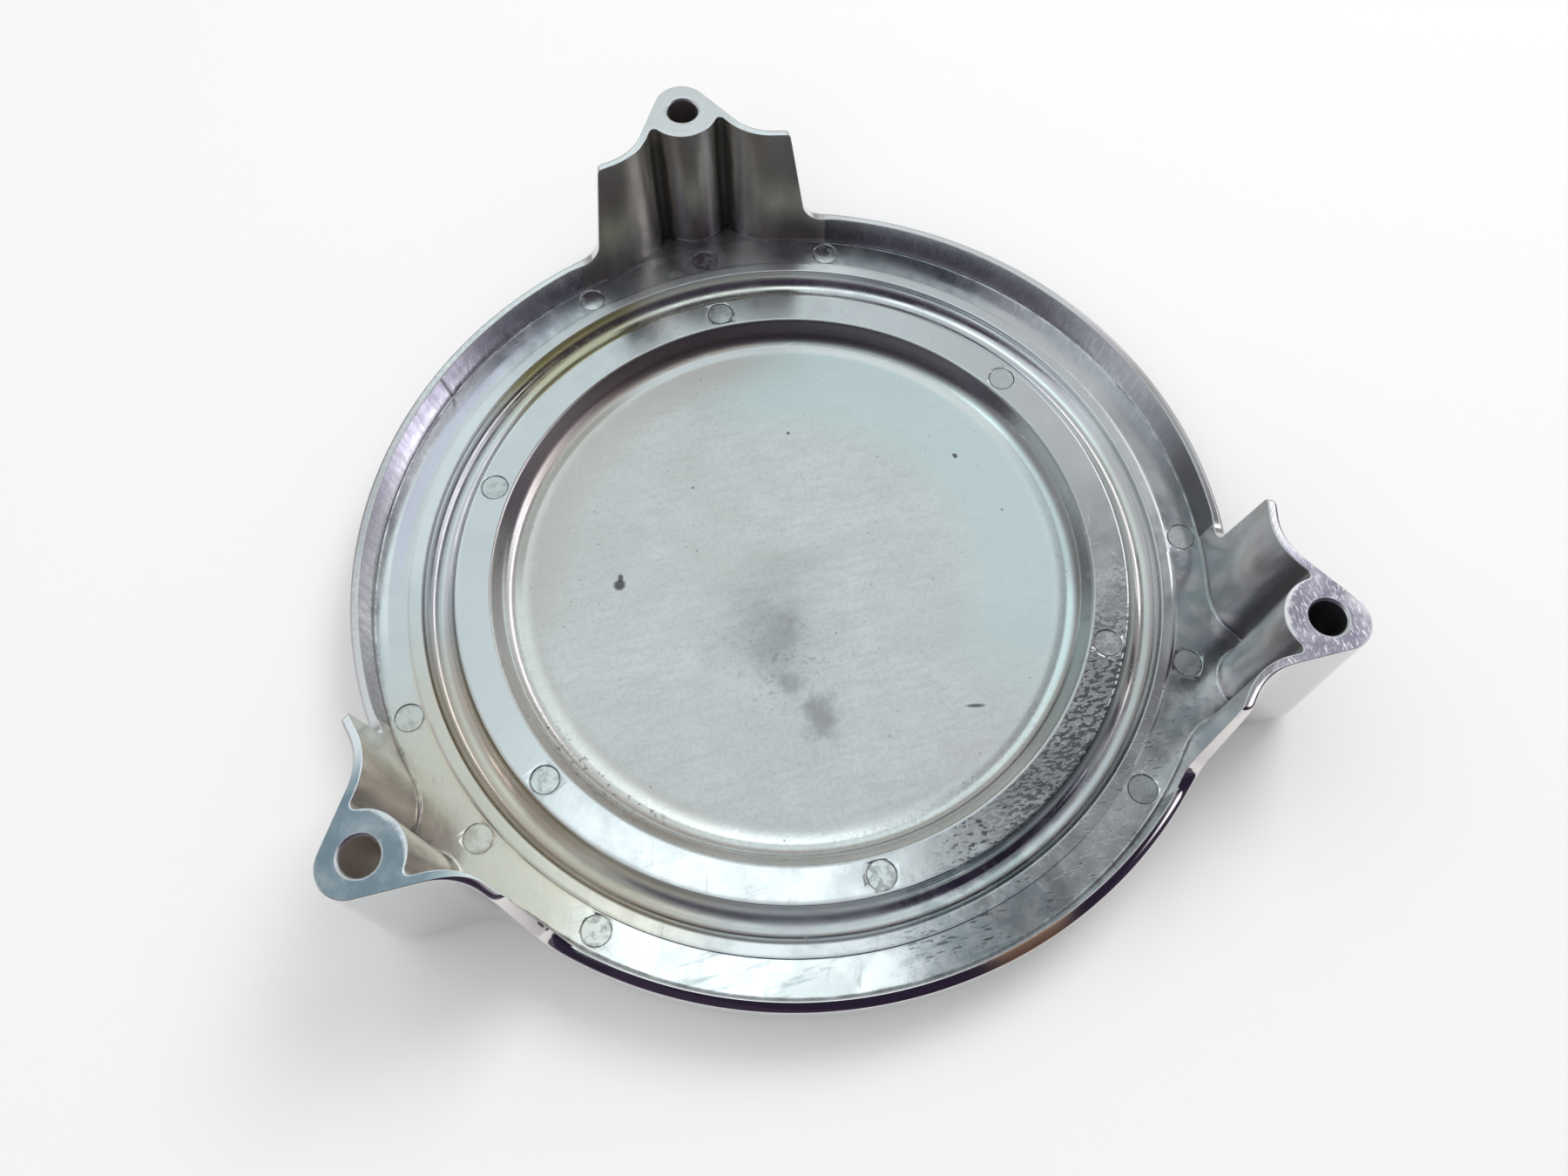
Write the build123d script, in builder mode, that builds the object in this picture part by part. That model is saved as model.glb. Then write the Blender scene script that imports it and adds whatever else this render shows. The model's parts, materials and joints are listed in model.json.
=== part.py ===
from build123d import *
import os
from math import asin, cos, degrees, radians, sqrt, tan

# Round die-cast engine side cover with three standoff ears, chrome plated all over.
# It is one casting. It lies on the flat centre of its polished front, which faces down,
# and its open back and the mounting faces of the ears point up, towards +Z.
# The origin is the centre of the front face. Sizes are in millimetres and degrees.

os.makedirs("parts", exist_ok=True)

# --- walls and heights ------------------------------------------------------------------
floor_wall = 2.7  # thickness of the round plate
dish_depth = 3.8  # how far the centre dish is sunk below the ring floor
mount_height = 38.0  # front face to mounting faces
rim_height = 6.5  # rim crest above the ring floor
rim_land = 1.5  # width of the flat on the rim crest
skirt_wall = 1.6  # wall of the standing skirt at the mounting faces
draft = 2.0  # the outer wall widens by this angle towards the front

# --- round plate, from its outer wall inwards -------------------------------------------
skirt_radius = 85.7  # outer wall at the mounting plane
outer_ring_width = 6.8
band_width = 2.8  # raised band just outside the groove
band_height = 0.4
groove_half_width = 3.1  # half-round groove
inner_ring_width = 7.1
dish_wall_run = 3.9  # how far the dish wall leans in on its way down
dish_foot_round = 3.0
front_edge_bevel = 2.0  # between the front and the outer wall
half_round_sides = 10  # sides of the polygon that makes a half-round, to keep its facets few

# --- ears -------------------------------------------------------------------------------
ear_count = 3
first_ear_angle = 90.0
hole_stand_out = 8.3  # centres of the screw holes beyond the round wall
hole_radius = 3.2  # clearance for an M6 screw
hole_chamfer = 0.4
boss_radius = 7.5
ear_tip_radius = 5.5
ear_tip_offset = 1.8  # centre of the tip round, beyond the hole
ear_flank_angle = 30.0  # each flank, from the ear's own radial line
ear_blend_radius = 11.0  # hollow blend of each flank into the round wall
boss_groove_round = 1.0  # bottom of the groove on each side of a boss
wing_half_width = 20.5  # half the skirt's width at the mounting plane
wing_flare = 8.0  # lean of the skirt's ends, widening towards the rim
wing_foot_round = 5.0  # blend of the skirt's ends into the rim crest
skirt_foot_bevel = 0.5  # along the foot of the skirt and of the bosses
head_radius = 5.4  # seat for a socket screw's head, in the front
head_depth = 6.5

# --- ejector pin marks ------------------------------------------------------------------
pin_depth = 0.3
pin_land = 0.25  # flat left on either side of a mark on the outer ring
outer_pin_spread = 20.0  # a mark at each ear and one this far to either side
inner_pin_count = 6

# --- places that follow from the sizes above --------------------------------------------
dish_floor = floor_wall
ring_floor = floor_wall + dish_depth
ring_front = ring_floor - floor_wall
rim_crest = ring_floor + rim_height
void_radius = skirt_radius - skirt_wall
crest_outer_radius = skirt_radius + (mount_height - rim_crest) * tan(radians(draft))
crest_inner_radius = crest_outer_radius - rim_land

band_outer_radius = void_radius - outer_ring_width
band_inner_radius = band_outer_radius - band_width
groove_radius = band_inner_radius - groove_half_width
dish_radius = groove_radius - groove_half_width - inner_ring_width
dish_floor_radius = dish_radius - dish_wall_run
dish_wall_length = sqrt(dish_wall_run**2 + dish_depth**2)
# An even wall carried round this bend has its outer corner this much further out.
corner_shift = floor_wall * dish_depth / (dish_wall_length + dish_wall_run)

outer_ring_flat = outer_ring_width - skirt_foot_bevel
pin_radius = outer_ring_flat / 2 - pin_land
outer_pin_radius = band_outer_radius + outer_ring_flat / 2
inner_pin_radius = dish_radius + inner_ring_width / 2

ear_pitch = 360 / ear_count
ear_angles = [first_ear_angle + i * ear_pitch for i in range(ear_count)]
bolt_circle_radius = skirt_radius + hole_stand_out
ear_reach = bolt_circle_radius + ear_tip_offset
apex_reach = ear_reach + ear_tip_radius / cos(radians(90 - ear_flank_angle))
flank_run = apex_reach - 0.9 * skirt_radius  # carries the flanks well inside the round wall
flank_spread = flank_run * tan(radians(ear_flank_angle))
wing_foot_half_width = wing_half_width + (mount_height - rim_crest) * tan(radians(wing_flare))
# The rim crest runs between the ears from this angle on either side of each.
wing_sweep = degrees(asin((wing_foot_half_width + wing_foot_round) / crest_outer_radius))
wing_back = 0.8 * void_radius  # start of each ear's share of the skirt, well inside the wall
clear = 1.3 * bolt_circle_radius  # beyond every face of the part
overshoot = 1.0  # how far a cutter runs past the face that it opens


def at_radius(angle):
    """Plane standing on the axis: its x runs outward at this angle and its y runs up."""
    outward = Vector(1, 0, 0).rotate(Axis.Z, angle)
    return Plane(origin=(0, 0, 0), x_dir=outward, z_dir=outward.cross(Vector(0, 0, 1)))


def across_ear(angle):
    """Plane across an ear's radial line: its x runs along the wall and its y runs up."""
    outward = Vector(1, 0, 0).rotate(Axis.Z, angle)
    return Plane(origin=(0, 0, 0), x_dir=Vector(0, 0, 1).cross(outward), z_dir=outward)


def rings(shape, radius, height):
    """Whole-circle edges of this radius at this height."""
    found = shape.edges().filter_by(GeomType.CIRCLE)
    found = found.filter_by(lambda e: abs(e.radius - radius) < 0.01)
    return found.filter_by(lambda e: abs(e.arc_center.Z - height) < 0.01)


# Three-lobed outline of the outer wall, drawn at the mounting plane.
with BuildSketch() as wall_outline:
    Circle(skirt_radius)
    with PolarLocations(0, ear_count, start_angle=first_ear_angle):
        Polygon(
            (apex_reach, 0),
            (apex_reach - flank_run, flank_spread),
            (apex_reach - flank_run, -flank_spread),
            align=None,
        )
    flank_ends = wall_outline.edges().filter_by(GeomType.LINE).vertices()
    fillet([v for v in flank_ends if v.center().length > bolt_circle_radius], ear_tip_radius)
    flank_ends = wall_outline.edges().filter_by(GeomType.LINE).vertices()
    fillet([v for v in flank_ends if v.center().length < skirt_radius + 0.01], ear_blend_radius)

# The open space inside the skirt, which runs round the three bosses.
with BuildSketch() as void_outline:
    add(wall_outline.sketch)
    offset(amount=-skirt_wall, mode=Mode.REPLACE)
    with PolarLocations(bolt_circle_radius, ear_count, start_angle=first_ear_angle):
        Circle(boss_radius, mode=Mode.SUBTRACT)
    boss_corners = void_outline.vertices().group_by(lambda v: round(v.center().length, 2))[-1]
    fillet(boss_corners, boss_groove_round)

# What the outer wall is trimmed to: up to the rim crest all round, full height at the ears.
with BuildPart() as trim:
    with BuildSketch(Plane.XY.offset(ring_front)):
        Circle(clear)
    extrude(amount=rim_crest - ring_front)
    for angle in ear_angles:
        with BuildSketch(across_ear(angle).offset(wing_back)) as wing_face:
            Polygon(
                (-wing_half_width, mount_height),
                (wing_half_width, mount_height),
                (wing_foot_half_width, rim_crest),
                (2 * wing_foot_half_width, rim_crest),
                (2 * wing_foot_half_width, ring_floor),
                (-2 * wing_foot_half_width, ring_floor),
                (-2 * wing_foot_half_width, rim_crest),
                (-wing_foot_half_width, rim_crest),
                align=None,
            )
            feet = wing_face.vertices().filter_by(lambda v: abs(v.Y - rim_crest) < 0.01)
            feet = feet.filter_by(lambda v: abs(abs(v.X) - wing_foot_half_width) < 0.01)
            fillet(feet, wing_foot_round)
        extrude(amount=clear - wing_back)

with BuildPart() as cover_casting:
    # Outer wall, still solid inside.
    with BuildSketch(Plane.XY.offset(mount_height)):
        add(wall_outline.sketch)
    extrude(amount=ring_front - mount_height, taper=-draft)
    chamfer(cover_casting.faces().sort_by(Axis.Z)[0].edges(), front_edge_bevel)
    add(trim.part, mode=Mode.INTERSECT)

    # Front of the plate: the flat centre that it rests on, and the bead behind the groove.
    with BuildSketch(at_radius(first_ear_angle)):
        Polygon(
            (0, 0),
            (dish_floor_radius + corner_shift, 0),
            (dish_radius + corner_shift, ring_front),
            (band_outer_radius, ring_front),
            (band_outer_radius, ring_floor),
            (0, ring_floor),
            align=None,
        )
        with Locations((groove_radius, ring_floor)):
            RegularPolygon(groove_half_width + floor_wall, half_round_sides)
        with Locations((groove_radius, ring_floor)):
            Rectangle(clear, clear, align=(Align.CENTER, Align.MIN), mode=Mode.SUBTRACT)
    revolve(axis=Axis.Z)

    # Space inside the skirt, down to the ring floor.
    with BuildSketch(Plane.XY.offset(ring_floor)):
        add(void_outline.sketch)
    extrude(amount=mount_height - ring_floor + overshoot, mode=Mode.SUBTRACT)
    floors = cover_casting.faces().filter_by(Axis.Z)
    floors = floors.filter_by(lambda f: abs(f.center().Z - ring_floor) < 0.01)
    chamfer(floors.edges(), skirt_foot_bevel)

    # Rim between the ears: its inner face leans out to the narrow land on the crest.
    for angle in ear_angles:
        with BuildSketch(at_radius(angle + wing_sweep)):
            Polygon(
                (void_radius - overshoot, ring_floor + skirt_foot_bevel),
                (void_radius, ring_floor + skirt_foot_bevel),
                (crest_inner_radius, rim_crest),
                (crest_inner_radius, rim_crest + overshoot),
                (void_radius - overshoot, rim_crest + overshoot),
                align=None,
            )
        revolve(axis=Axis.Z, revolution_arc=ear_pitch - 2 * wing_sweep, mode=Mode.SUBTRACT)

    # Raised band and half-round groove between the two rings.
    with BuildSketch(Plane.XY.offset(ring_floor)):
        Circle(band_outer_radius)
        Circle(groove_radius, mode=Mode.SUBTRACT)
    extrude(amount=band_height)
    with BuildSketch(at_radius(first_ear_angle)):
        with Locations((groove_radius, ring_floor)):
            RegularPolygon(groove_half_width, half_round_sides)
            Rectangle(2 * groove_half_width, 2 * overshoot, align=(Align.CENTER, Align.MIN))
    revolve(axis=Axis.Z, mode=Mode.SUBTRACT)

    # Centre dish.
    with BuildSketch(at_radius(first_ear_angle)):
        Polygon(
            (0, dish_floor),
            (dish_floor_radius, dish_floor),
            (dish_radius, ring_floor),
            (dish_radius, ring_floor + overshoot),
            (0, ring_floor + overshoot),
            align=None,
        )
    revolve(axis=Axis.Z, mode=Mode.SUBTRACT)
    fillet(rings(cover_casting, dish_floor_radius, dish_floor), dish_foot_round)

    # Marks that the ejector pins leave in the two rings.
    with BuildSketch(Plane.XY.offset(ring_floor)):
        for angle in ear_angles:
            start = angle - outer_pin_spread
            with PolarLocations(outer_pin_radius, 3, start_angle=start, angular_range=2 * outer_pin_spread):
                Circle(pin_radius)
        with PolarLocations(inner_pin_radius, inner_pin_count, start_angle=first_ear_angle):
            Circle(pin_radius)
    extrude(amount=-pin_depth, mode=Mode.SUBTRACT)

    # Screw holes down the bosses, each with a seat for the screw's head in the front.
    with BuildSketch():
        with PolarLocations(bolt_circle_radius, ear_count, start_angle=first_ear_angle):
            Circle(hole_radius)
    extrude(amount=mount_height, mode=Mode.SUBTRACT)
    chamfer(rings(cover_casting, hole_radius, mount_height), hole_chamfer)
    with BuildSketch(Plane.XY.offset(ring_front)):
        with PolarLocations(bolt_circle_radius, ear_count, start_angle=first_ear_angle):
            Circle(head_radius)
    extrude(amount=head_depth, mode=Mode.SUBTRACT)

cover_casting.part.label = "cover_casting"
export_step(cover_casting.part, "parts/cover_casting.step")
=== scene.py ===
import json
import math
import bpy
import bmesh
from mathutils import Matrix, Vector, noise


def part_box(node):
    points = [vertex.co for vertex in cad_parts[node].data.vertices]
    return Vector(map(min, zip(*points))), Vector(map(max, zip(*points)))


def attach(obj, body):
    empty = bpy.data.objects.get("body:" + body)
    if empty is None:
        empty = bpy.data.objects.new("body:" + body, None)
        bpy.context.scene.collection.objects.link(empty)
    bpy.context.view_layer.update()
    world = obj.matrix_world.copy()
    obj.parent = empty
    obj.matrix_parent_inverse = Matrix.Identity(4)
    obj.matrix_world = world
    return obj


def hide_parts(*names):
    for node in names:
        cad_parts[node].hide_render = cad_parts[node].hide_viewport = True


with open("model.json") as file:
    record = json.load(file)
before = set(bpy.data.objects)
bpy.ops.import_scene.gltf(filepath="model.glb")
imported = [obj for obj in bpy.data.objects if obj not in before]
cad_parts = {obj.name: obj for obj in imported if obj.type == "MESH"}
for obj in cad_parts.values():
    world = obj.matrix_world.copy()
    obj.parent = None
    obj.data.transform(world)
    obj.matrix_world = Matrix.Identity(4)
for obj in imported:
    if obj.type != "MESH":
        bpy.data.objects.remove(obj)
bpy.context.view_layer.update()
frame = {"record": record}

mm = 0.001
node = "cover_casting"
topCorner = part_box(node)[1]
boltPattern = next(m for m in frame["record"]["mounts"] if m["kind"] == "bolt_pattern")

casting = {  # millimetres and degrees, in the part's own frame
    "earAngles": (90, 210, 330),
    "mountHeight": topCorner.z / mm,
    "boltRadius": boltPattern["dims"]["pcd_mm"] / 2,
    "holeRadius": boltPattern["dims"]["hole_r_mm"],
    "holeChamfer": 0.4,
    "skirtRadius": 85.7,  # outer wall at the mounting plane
    "skirtWall": 1.6,
    "draft": 2.0,
    "ringFloor": 6.5,
    "rimCrest": 13.0,
    "crestLeans": (0.97, 0.6),  # how far the rim's inner face leans out by the crest: least worn, most worn
    "ringFront": 3.8,
    "frontRound": 2.0,
    "bossRadius": 7.5,
    "tipRadius": 5.5,
    "tipOffset": 1.8,
    "flankAngle": 30.0,
    "blendRadius": 11.0,
    "grooveRound": 1.0,  # bottom of the groove beside each boss
    "wingHalfWidth": 20.5,
    "wingFlare": 8.0,
    "wingFoot": 5.0,
    "wingCorner": 0.8,
    "footRound": 0.55,
    "topEdge": 0.15,  # inner edge of the wall's top
    "padRound": 0.25,  # outer edge of the wall's top at the ears
    "buffTilts": (10.0, 26.0, 88.0),  # buffing has crowned the top between the ears: how far it tips
    "buffRadii": (5.4, 0.4),  # radius up to the second tilt, and from there to the third
    "buffCorner": 2.2,  # how much rounder buffing leaves a skirt's corner, for each millimetre down
    "buffPlace": (263.0, 46.0, 16.0, 0.3),  # most worn here, this far to each side, fade, least share
    "buffStart": (9.0, 17.0),  # where the crown begins beside the boss
    "padHalfWidth": 21.0,  # the milled finish reaches this far to each side
    "headRadius": 5.4,
    "headDepth": 6.5,
}
plate = {  # millimetres: the turned shape of the round plate
    "dishFloor": 2.7,
    "dishRadius": 61.5,
    "dishSlope": 54.0,
    "dishFoot": 4.0,  # soft round at the foot of the dish's wall
    "dishLip": 1.0,
    "frontRun": 3.9,  # slope round the dish's front
    "frontRounds": (1.2, 3.0),  # at the top and the foot of that slope
    "grooveRadius": 71.4,
    "grooveHalfWidth": 3.1,
    "grooveDepth": 2.9,
    "grooveLip": 0.3,
    "bandOuter": 77.3,
    "bandHeight": 0.4,
    "bandEdge": 0.15,
    "pinBand": (61.72, 67.72),  # the part of the inner ring that its pin marks can take up
    "ringEnd": 83.4,  # where the flat of the outer ring gives way to the foot of the wall
    "innerPins": 64.7,
    "outerPins": 80.4,
    "pinRadius": 2.85,
    "wall": 2.7,
}


def spaced(start, end, count):  # count steps from start, end left out
    return [start + (end - start) * i / count for i in range(count)]


def arc(centreR, centreZ, radius, fromDeg, toDeg, count):  # both ends in
    turns = [math.radians(fromDeg + (toDeg - fromDeg) * i / count) for i in range(count + 1)]
    return [(centreR + radius * math.cos(t), centreZ + radius * math.sin(t)) for t in turns]


def smooth(value, low, high):
    t = min(1.0, max(0.0, (value - low) / (high - low)))
    return t * t * (3 - 2 * t)


def turnGap(first, second):  # degrees between two directions
    return abs((first - second + 180) % 360 - 180)


# One ear's outline, seen along the axis, with its hole at (boltRadius, 0).
flankTurn = math.radians(casting["flankAngle"])
flankNormal = Vector((math.sin(flankTurn), math.cos(flankTurn)))
flankAlong = Vector((math.cos(flankTurn), -math.sin(flankTurn)))
hole = Vector((casting["boltRadius"], 0))
tip = hole + Vector((casting["tipOffset"], 0))
flankReach = tip.dot(flankNormal) + casting["tipRadius"]
blendReach = flankReach + casting["blendRadius"]
blendOut = casting["skirtRadius"] + casting["blendRadius"]
blend = flankNormal * blendReach + flankAlong * math.sqrt(blendOut ** 2 - blendReach ** 2)


def turnOf(point):
    return math.atan2(point[1], point[0])


def rayCircle(turn, centre, radius, far):
    along = centre[0] * math.cos(turn) + centre[1] * math.sin(turn)
    rest = math.sqrt(max(0.0, radius ** 2 - (centre[0] ** 2 + centre[1] ** 2 - along ** 2)))
    return along + rest if far else along - rest


def wallReach(turn, grow):  # outer wall's distance from the axis, grown outward by grow
    tipRadius = casting["tipRadius"] + grow
    blendRadius = casting["blendRadius"] - grow
    if turn < turnOf(tip + flankNormal * tipRadius):
        return rayCircle(turn, tip, tipRadius, True)
    if turn < turnOf(blend - flankNormal * blendRadius):
        return (flankReach + grow) / math.cos(math.pi / 2 - flankTurn - turn)
    if turn < turnOf(blend):
        return rayCircle(turn, blend, blendRadius, False)
    return casting["skirtRadius"] + grow


# Centre of the round at the bottom of the groove between a boss and the skirt.
grooveIn = flankReach - casting["skirtWall"] - casting["grooveRound"]
grooveFoot = hole.dot(flankAlong)
grooveGap = casting["bossRadius"] + casting["grooveRound"]
grooveSide = math.sqrt(grooveGap ** 2 - (hole.dot(flankNormal) - grooveIn) ** 2)
groove = flankNormal * grooveIn + flankAlong * (grooveFoot - grooveSide)
grooveStart = turnOf(groove + (hole - groove).normalized() * casting["grooveRound"])
grooveEnd = turnOf(groove + flankNormal * casting["grooveRound"])


def voidReach(turn):  # inner wall's distance from the axis
    if turn < grooveStart:
        return rayCircle(turn, hole, casting["bossRadius"], False)
    if turn < grooveEnd:
        return rayCircle(turn, groove, casting["grooveRound"], True)
    return wallReach(turn, -casting["skirtWall"])


# Lean of a skirt's end, and the hollow round that blends it into the rim crest.
flare = math.radians(casting["wingFlare"])
footHeight = casting["rimCrest"] + casting["wingFoot"]
footMiddle = (casting["wingHalfWidth"] + (casting["mountHeight"] - footHeight) * math.tan(flare)
              + casting["wingFoot"] / math.cos(flare))
footStart = footMiddle - casting["wingFoot"] * math.cos(flare)


def wallTop(sideways, inset=0.0):  # height of the wall this far to the side of the ear's radial line
    corner = casting["wingCorner"] + casting["buffCorner"] * inset
    top = casting["mountHeight"] - inset
    end = casting["wingHalfWidth"] + inset * (math.tan(flare) - 1 / math.cos(flare))
    cornerX = end - corner / math.tan((math.pi / 2 + flare) / 2)
    foot = casting["wingFoot"] + inset
    if sideways <= cornerX:
        return top
    if sideways < cornerX + corner * math.cos(flare):
        return top - corner + math.sqrt(corner ** 2 - (sideways - cornerX) ** 2)
    if sideways < footMiddle - foot * math.cos(flare):
        return top - (sideways - end) / math.tan(flare)
    if sideways < footMiddle:
        return footHeight - math.sqrt(foot ** 2 - (footMiddle - sideways) ** 2)
    return casting["rimCrest"] - inset


def buffedRound(share):  # the crowned top, from its inner edge to the outer wall, as (across, down)
    first, second, third = [math.radians(t) for t in casting["buffTilts"]]
    wide, tight = casting["buffRadii"]
    tilt = first + (second - first) * min(1, share / 0.6)
    across = wide * (math.sin(tilt) - math.sin(first))
    down = wide * (math.cos(first) - math.cos(tilt))
    if share > 0.6:
        tilt = second + (third - second) * (share - 0.6) / 0.4
        across += tight * (math.sin(tilt) - math.sin(second))
        down += tight * (math.cos(second) - math.cos(tilt))
    return across, down


wallMiddle = casting["skirtRadius"] - casting["skirtWall"] / 2


def halfTurns():  # from an ear's middle to half way to the next ear, in radians
    # columns stand closest where the outline bends: at the boss's groove, the skirt's corner and its foot
    degrees = spaced(0, 3.75, 10) + spaced(3.75, 5.25, 12) + spaced(5.25, 12.0, 15)
    topTurn = math.degrees(math.asin(casting["wingHalfWidth"] / wallMiddle))
    cornerTurn = math.degrees(math.asin((casting["wingHalfWidth"] - 1.5) / wallMiddle))
    degrees += spaced(12.0, cornerTurn, 3) + spaced(cornerTurn, topTurn, 12)
    sideways = spaced(casting["wingHalfWidth"], footStart, 7)
    for t in spaced(flare, math.pi / 2, 9):
        sideways.append(footMiddle - casting["wingFoot"] * math.cos(t))
    degrees += [math.degrees(math.asin(s / wallMiddle)) for s in sideways]
    degrees += spaced(math.degrees(math.asin(footMiddle / wallMiddle)), 60, 64) + [60]
    return [math.radians(d) for d in degrees]


half = halfTurns()
earTurns = [-t for t in reversed(half[1:])] + half[:-1]
columns = [(ear, turn) for ear in casting["earAngles"] for turn in earTurns]


def pointAt(ear, turn, radius, height):  # columns run straight out, not like rays, where a skirt ends
    straight = smooth(abs(turn), math.radians(12.2), math.radians(13.4))
    straight *= 1 - smooth(abs(turn), math.radians(20.5), math.radians(28))
    straight *= smooth(radius, plate["bandOuter"], plate["ringEnd"])
    square = math.asin(max(-1, min(1, wallMiddle * math.sin(turn) / max(radius, wallMiddle / 2))))
    angle = math.radians(ear) + turn + straight * (square - turn)
    return Vector((radius * math.cos(angle), radius * math.sin(angle), height)) * mm


pinSteps = 8  # rows across each ring, where the pin marks lie


def insideProfile():  # from the centre of the dish to the outer ring, as (radius, height)
    slope = plate["dishSlope"]
    lean = math.radians(slope)
    foot, edge, floor = plate["dishFoot"], plate["dishLip"], plate["dishFloor"]
    straight = (casting["ringFloor"] - floor - (foot + edge) * (1 - math.cos(lean))) / math.tan(lean)
    start = plate["dishRadius"] - (foot + edge) * math.sin(lean) - straight
    points = [(r, floor) for r in (3, 8, 16, 24, 32, 40, 47, 52)]
    points += arc(start, floor + foot, foot, -90, -90 + slope, 9)
    points += arc(plate["dishRadius"], casting["ringFloor"] - edge, edge, 90 + slope, 90, 5)
    ringRows = len(points)
    top = casting["ringFloor"]
    start, stop = plate["pinBand"]
    points += [(r, top) for r in spaced(start, stop, pinSteps) + [stop]]
    lip, halfWidth = plate["grooveLip"], plate["grooveHalfWidth"]
    right = plate["grooveRadius"] + halfWidth
    points += arc(plate["grooveRadius"] - halfWidth - lip, top - lip, lip, 90, 0, 3)
    for i in range(1, 18):
        t = math.pi * (1 + i / 18)
        points.append((plate["grooveRadius"] + halfWidth * math.cos(t),
                       top - lip + (plate["grooveDepth"] - lip) * math.sin(t)))
    band, end, edge = top + plate["bandHeight"], plate["bandOuter"], plate["bandEdge"]
    points.append((right, top - lip))
    points += arc(right + lip, band - lip, lip, 180, 90, 3)
    points += [(r, band) for r in spaced(right + 2 * lip, end - edge, 3)]
    points += arc(end - edge, band - edge, edge, 90, 0, 2)
    points.append((end, top))
    outerRows = len(points)
    points += [(r, top) for r in spaced(end + 0.08, plate["ringEnd"], pinSteps) + [plate["ringEnd"]]]
    return points, ringRows, outerRows


frontReach = plate["bandOuter"] + 0.4  # where the flat front of the outer ring begins


def frontProfile():  # from the outer ring's front to the centre of the front
    wall, run, height = plate["wall"], plate["frontRun"], casting["ringFront"]
    upper, lower = plate["frontRounds"]
    bead = plate["grooveHalfWidth"] + wall
    side = math.degrees(math.asin(wall / bead))
    points = [(frontReach, height)]
    points += arc(plate["grooveRadius"], casting["ringFloor"], bead, -side, -180 + side, 18)
    slope = math.degrees(math.atan2(height, run))
    ease = math.tan(math.radians(slope / 2))
    shift = wall * height / (math.hypot(run, height) + run)
    outerR = plate["dishRadius"] - 0.3 + shift
    points += arc(outerR + upper * ease, height - upper, upper, 90, 90 + slope, 3)
    points += arc(outerR - run - lower * ease, lower, lower, -90 + slope, -90, 6)
    return points + [(r, 0.0) for r in (48, 36, 24, 12, 4)]


inside, ringRow, outerRow = insideProfile()
front = frontProfile()
floorSteps, wallSteps, topSteps, roundSteps, outerSteps, frontSteps = 5, 12, 10, 10, 12, 8


def buffShare(degrees):  # how much of the crown the wall's top has here
    middle, spread, fade, least = casting["buffPlace"]
    return 1 - (1 - least) * smooth(turnGap(degrees, middle), spread, spread + fade)


def crossSection(ear, turn):  # the wall from the outer ring round to the front, at this turn
    share = buffShare(ear + math.degrees(turn))
    turn = abs(turn)
    floor, edge = casting["ringFloor"], casting["topEdge"]
    foot = casting["footRound"]
    sideways = wallMiddle * math.sin(turn)
    inner = voidReach(turn)
    fresh, worn = casting["crestLeans"]
    lean = (fresh + (worn - fresh) * share) * smooth(sideways, footStart, footMiddle + 3)
    lean /= casting["rimCrest"] - floor
    buffed = smooth(sideways, *casting["buffStart"])
    innerR = inner + lean * (wallTop(sideways, edge) - floor)
    draft = math.tan(math.radians(casting["draft"]))

    def outer(z):
        return wallReach(turn, (casting["mountHeight"] - z) * draft)

    top = wallTop(sideways)
    full = buffedRound(1.0)[0]
    size = share * min(1.0, (outer(top) - innerR - edge - 0.05) / full)
    shape = []
    for i in range(roundSteps + 1):
        t = math.pi / 2 * i / roundSteps
        plain = casting["padRound"]
        across, down = buffedRound(i / roundSteps)
        shape.append((plain * (1 - math.sin(t)) * (1 - buffed) + (full - across) * size * buffed,
                      plain * (1 - math.cos(t)) * (1 - buffed) + down * size * buffed))
    points = [(r, floor) for r in spaced(plate["ringEnd"], inner - foot, floorSteps)[1:]]
    points += arc(inner - foot, floor + foot, foot, -90, 0, 4)
    innerTop = wallTop(sideways, edge)
    for z in spaced(floor + foot, innerTop, wallSteps)[1:]:
        points.append((inner + lean * (z - floor), z))
    for i in range(4):
        t = math.pi / 2 * i / 3
        points.append((innerR + edge * (1 - math.cos(t)), wallTop(sideways, edge * (1 - math.sin(t)))))
    shoulder = outer(top) - shape[0][0]
    points += [(r, top) for r in spaced(innerR + edge, shoulder, topSteps)[1:]]
    for back, down in shape:
        z = wallTop(sideways, down)
        points.append((outer(z) - back, z))
    low = casting["ringFront"] + casting["frontRound"]
    points += [(outer(z), z) for z in spaced(points[-1][1], low, outerSteps)[1:]]
    grow = (casting["mountHeight"] - low) * draft
    for i in range(8):
        t = math.pi / 2 * i / 7
        back = casting["frontRound"] * (1 - math.cos(t))
        points.append((wallReach(turn, grow - back), low - casting["frontRound"] * math.sin(t)))
    flat = spaced(points[-1][0], frontReach, frontSteps)[1:]
    return points + [(r, casting["ringFront"]) for r in flat]


rows = []
for ear, turn in columns:
    profile = inside + crossSection(ear, turn) + front
    rows.append([pointAt(ear, turn, r, z) for r, z in profile])
rowCount = len(rows[0])
columnCount = len(columns)
footRow = len(inside) + floorSteps + 1  # in the round at the wall's foot
topRow = len(inside) + (floorSteps - 1) + 5 + (wallSteps - 1) + 3  # first row of the wall's flat top
frontRow = rowCount - len(front) - frontSteps  # outermost row of the flat front
print("profile rows", rowCount, "columns", columnCount)

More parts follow.
